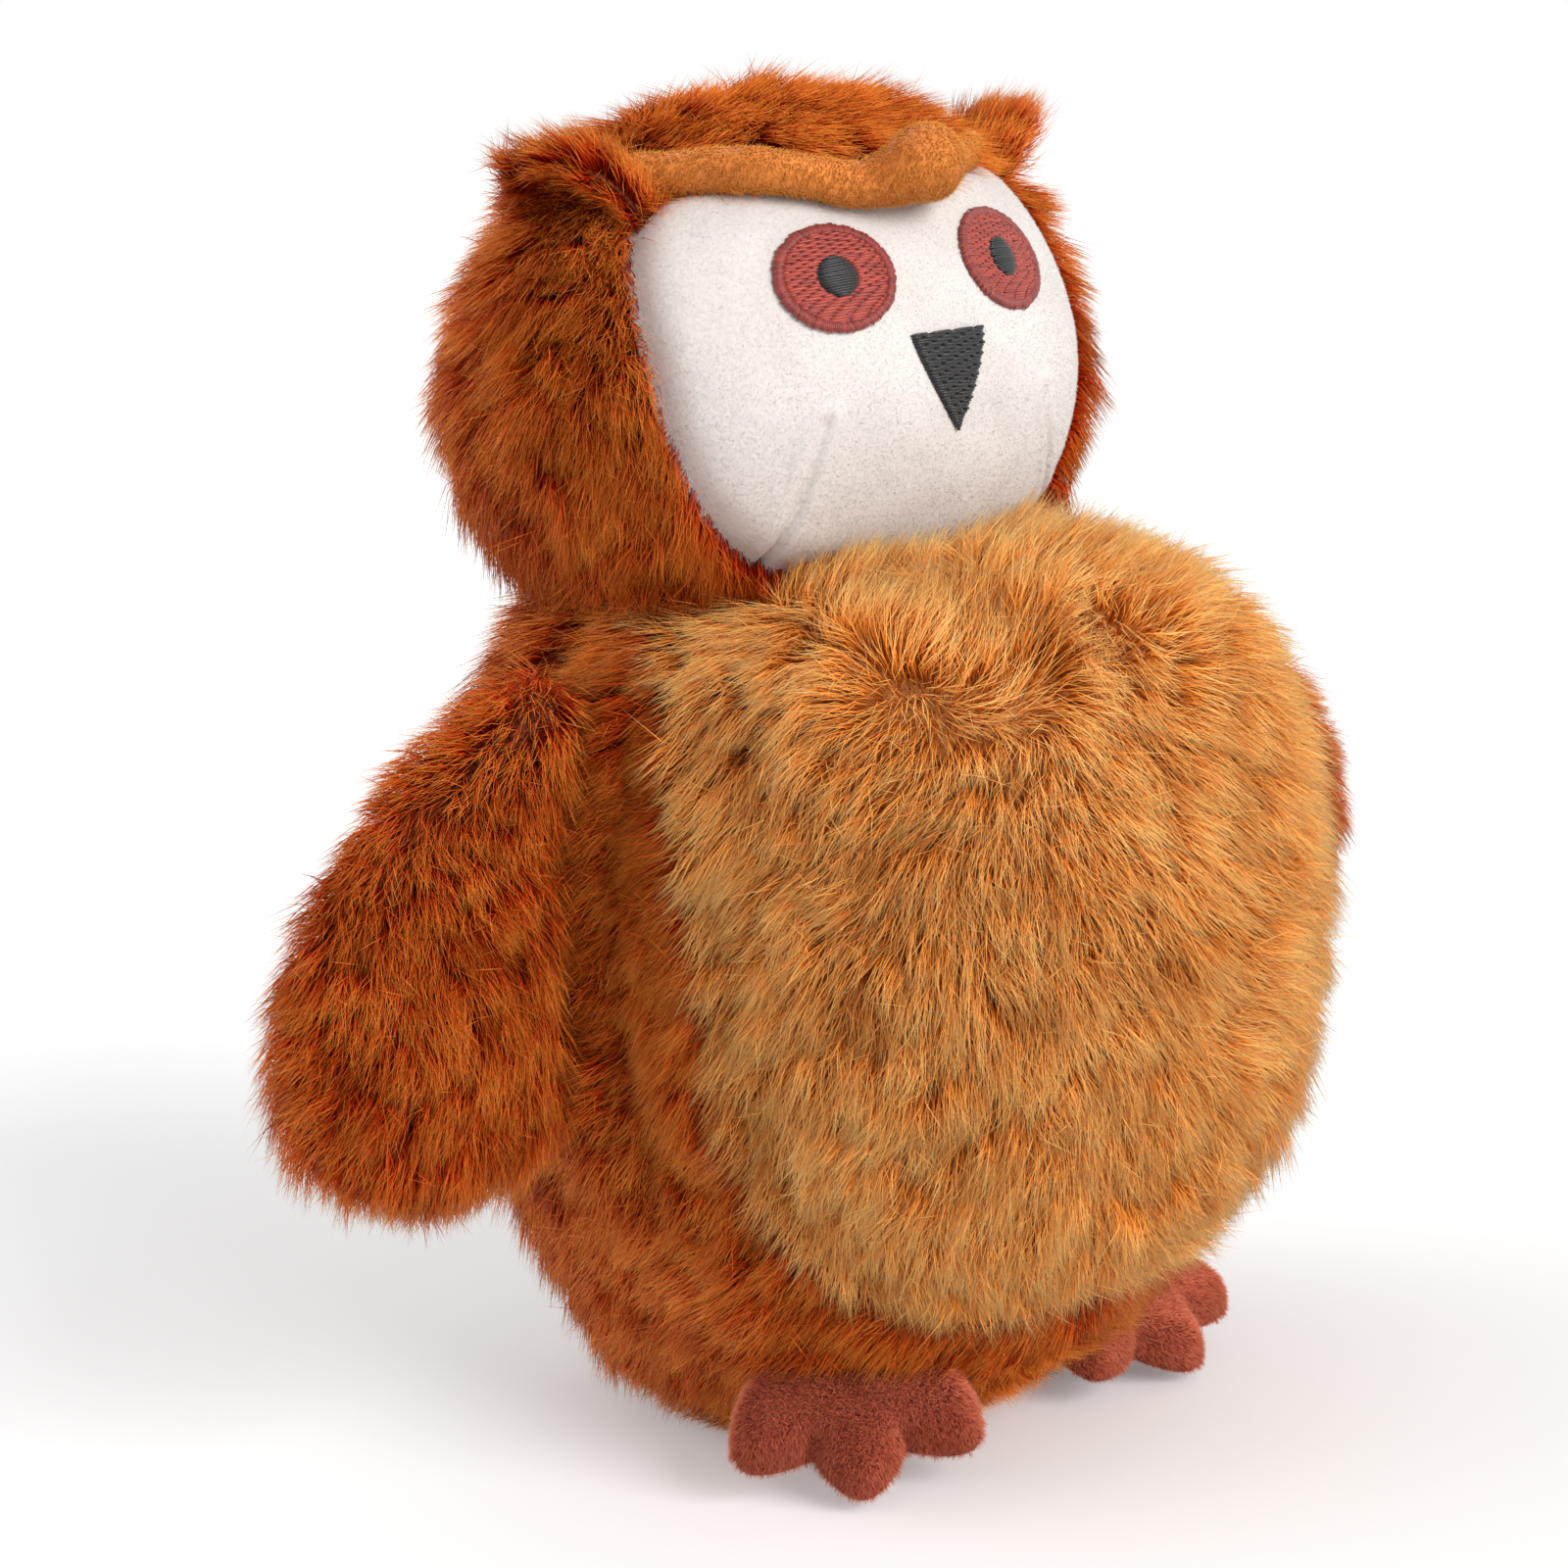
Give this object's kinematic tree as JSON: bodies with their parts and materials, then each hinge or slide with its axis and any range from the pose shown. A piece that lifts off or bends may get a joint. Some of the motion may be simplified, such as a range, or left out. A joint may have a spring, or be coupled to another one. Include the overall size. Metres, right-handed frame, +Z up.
{
  "type": "stuffed owl dog toy",
  "caption": "Standing stuffed owl toy in long-pile plush with a short-nap face, embroidered eyes and beak, floppy wings, toed feet and a squeaker inside.",
  "frame": {"origin": "middle of the flat base, on the surface that the toy stands on", "axes": "+Z up, the owl faces -Y, its left wing is on +X"},
  "size_m": [0.2483, 0.1598, 0.2364],
  "materials": {
    "brown_pile": "long soft pile",
    "tan_pile": "long soft pile",
    "white_velboa": "short brushed nap",
    "tan_velboa": "short brushed nap",
    "maroon_velboa": "short brushed nap",
    "red_thread": "satin-stitched embroidery",
    "black_thread": "satin-stitched embroidery",
    "brown_thread": "spun polyester",
    "fibre_fill": "loose polyester fibre",
    "soft_plastic": "matt moulded"
  },
  "bodies": {
    "torso": {"body_left_panel": "brown_pile", "body_right_panel": "brown_pile", "belly_panel": "tan_pile", "base_panel": "brown_pile", "closing_stitch": "brown_thread", "body_stuffing_back": "fibre_fill", "squeaker_reed_plug": "soft_plastic", "squeaker_reed": "soft_plastic"},
    "squeaker": {"squeaker_bulb": "soft_plastic", "body_stuffing_front": "fibre_fill"},
    "head": {"hood_left_panel": "brown_pile", "hood_right_panel": "brown_pile", "face_panel": "white_velboa", "head_stuffing": "fibre_fill", "brow_roll_cover": "tan_velboa", "brow_roll_stuffing": "fibre_fill", "left_ear_tuft": "brown_pile", "right_ear_tuft": "brown_pile", "left_iris": "red_thread", "left_pupil": "black_thread", "right_iris": "red_thread", "right_pupil": "black_thread", "beak": "black_thread"},
    "left_wing": {"left_wing_front_panel": "brown_pile", "left_wing_back_panel": "brown_pile", "left_wing_stuffing": "fibre_fill"},
    "right_wing": {"right_wing_front_panel": "brown_pile", "right_wing_back_panel": "brown_pile", "right_wing_stuffing": "fibre_fill"},
    "left_foot": {"left_foot_upper": "maroon_velboa", "left_foot_sole": "maroon_velboa", "left_foot_stuffing": "fibre_fill"},
    "right_foot": {"right_foot_upper": "maroon_velboa", "right_foot_sole": "maroon_velboa", "right_foot_stuffing": "fibre_fill"}
  },
  "joints": [
    {"name": "neck_nod", "type": "hinge", "parent": "torso", "child": "head", "pos_m": [0, 0.002, 0.1835], "axis": [1, 0, 0], "range_deg": [-8, 8], "stiffness_Nm_per_rad": 0.6},
    {"name": "right_wing_flap", "type": "hinge", "parent": "torso", "child": "right_wing", "pos_m": [-0.07038, -0.008, 0.138], "axis": [0, 1, 0], "range_deg": [0, 75], "stiffness_Nm_per_rad": 0.15},
    {"name": "left_wing_flap", "type": "hinge", "parent": "torso", "child": "left_wing", "pos_m": [0.07038, -0.008, 0.138], "axis": [0, -1, 0], "range_deg": [-8, 67], "stiffness_Nm_per_rad": 0.15},
    {"name": "right_foot_flap", "type": "hinge", "parent": "torso", "child": "right_foot", "pos_m": [-0.031, -0.0365, 0.0207], "axis": [0.809, -0.5878, 0], "range_deg": [-8, 12], "stiffness_Nm_per_rad": 0.08},
    {"name": "left_foot_flap", "type": "hinge", "parent": "torso", "child": "left_foot", "pos_m": [0.029, -0.031, 0.017], "axis": [0.9848, 0.1736, 0], "range_deg": [-8, 12], "stiffness_Nm_per_rad": 0.08},
    {"name": "squeaker_squeeze", "type": "slide", "parent": "torso", "child": "squeaker", "axis": [0, 1, 0], "range_m": [0, 0.008], "stiffness_N_per_m": 350, "deforming": ["squeaker_bulb", "body_stuffing_front"]}
  ]
}
